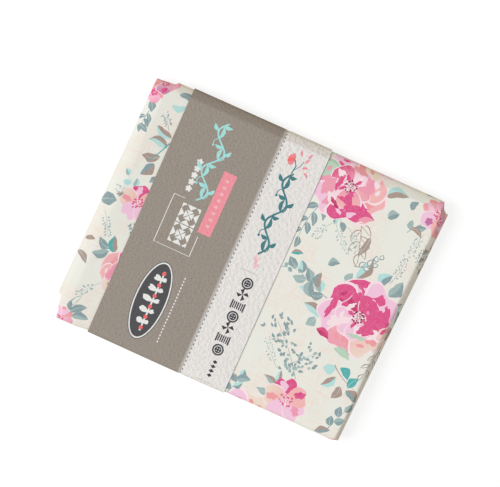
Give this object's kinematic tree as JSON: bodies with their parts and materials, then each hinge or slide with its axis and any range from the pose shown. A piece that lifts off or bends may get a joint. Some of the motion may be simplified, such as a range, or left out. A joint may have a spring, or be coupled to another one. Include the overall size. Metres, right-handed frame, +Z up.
{
  "type": "folded fat quarter bundle",
  "caption": "Flat bundle of folded printed cotton fabric cuts, wrapped in an outer floral cut and held by a two-tone paper belly band with a row of stitches.",
  "frame": {"origin": "middle of the plane the bundle rests on, under the middle of its bounding box", "axes": "+X along the bundle, from its open end to the end with the tucked folds; +Y across it; +Z up, out of the printed face of the band"},
  "size_m": [0.236, 0.1958, 0.0199],
  "materials": {
    "floral_cotton": "matt plain-weave quilting cotton, floral print on cream",
    "cotton_1": "matt plain-weave quilting cotton, aqua mint small print",
    "cotton_2": "matt plain-weave quilting cotton, pink small print",
    "cotton_3": "matt plain-weave quilting cotton, taupe small print",
    "cotton_4": "matt plain-weave quilting cotton, deep teal small print",
    "cotton_5": "matt plain-weave quilting cotton, peach small print",
    "cotton_6": "matt plain-weave quilting cotton, slate small print",
    "cotton_7": "matt plain-weave quilting cotton, cream small print",
    "kraft_paper": "matt flecked kraft paper, printed",
    "rag_paper": "matt dimpled rag paper, printed",
    "thread": "matt cotton thread",
    "tape": "clear double-sided tape"
  },
  "bodies": {
    "wrapped_bundle": {"outer_fat_quarter": "floral_cotton"},
    "folded_quarter_1": {"fat_quarter_1": "cotton_1"},
    "folded_quarter_2": {"fat_quarter_2": "cotton_2"},
    "folded_quarter_3": {"fat_quarter_3": "cotton_3"},
    "folded_quarter_4": {"fat_quarter_4": "cotton_4"},
    "folded_quarter_5": {"fat_quarter_5": "cotton_5"},
    "folded_quarter_6": {"fat_quarter_6": "cotton_6"},
    "folded_quarter_7": {"fat_quarter_7": "cotton_7"},
    "paper_band": {"kraft_band": "kraft_paper", "rag_paper_strip": "rag_paper", "stitch_thread": "thread", "joining_tape": "tape", "kraft_lap_tape": "tape", "rag_lap_tape": "tape"}
  },
  "joints": [
    {"name": "band_slide", "type": "slide", "parent": "wrapped_bundle", "child": "paper_band", "axis": [1, 0, 0], "range_m": [-0.147, 0.212]},
    {"name": "quarter_1_slide", "type": "slide", "parent": "wrapped_bundle", "child": "folded_quarter_1", "axis": [-1, 0, 0], "range_m": [0, 0.235]},
    {"name": "quarter_2_slide", "type": "slide", "parent": "wrapped_bundle", "child": "folded_quarter_2", "axis": [-1, 0, 0], "range_m": [0, 0.235]},
    {"name": "quarter_3_slide", "type": "slide", "parent": "wrapped_bundle", "child": "folded_quarter_3", "axis": [-1, 0, 0], "range_m": [0, 0.235]},
    {"name": "quarter_4_slide", "type": "slide", "parent": "wrapped_bundle", "child": "folded_quarter_4", "axis": [-1, 0, 0], "range_m": [0, 0.235]},
    {"name": "quarter_5_slide", "type": "slide", "parent": "wrapped_bundle", "child": "folded_quarter_5", "axis": [-1, 0, 0], "range_m": [0, 0.235]},
    {"name": "quarter_6_slide", "type": "slide", "parent": "wrapped_bundle", "child": "folded_quarter_6", "axis": [-1, 0, 0], "range_m": [0, 0.235]},
    {"name": "quarter_7_slide", "type": "slide", "parent": "wrapped_bundle", "child": "folded_quarter_7", "axis": [-1, 0, 0], "range_m": [0, 0.235]}
  ]
}
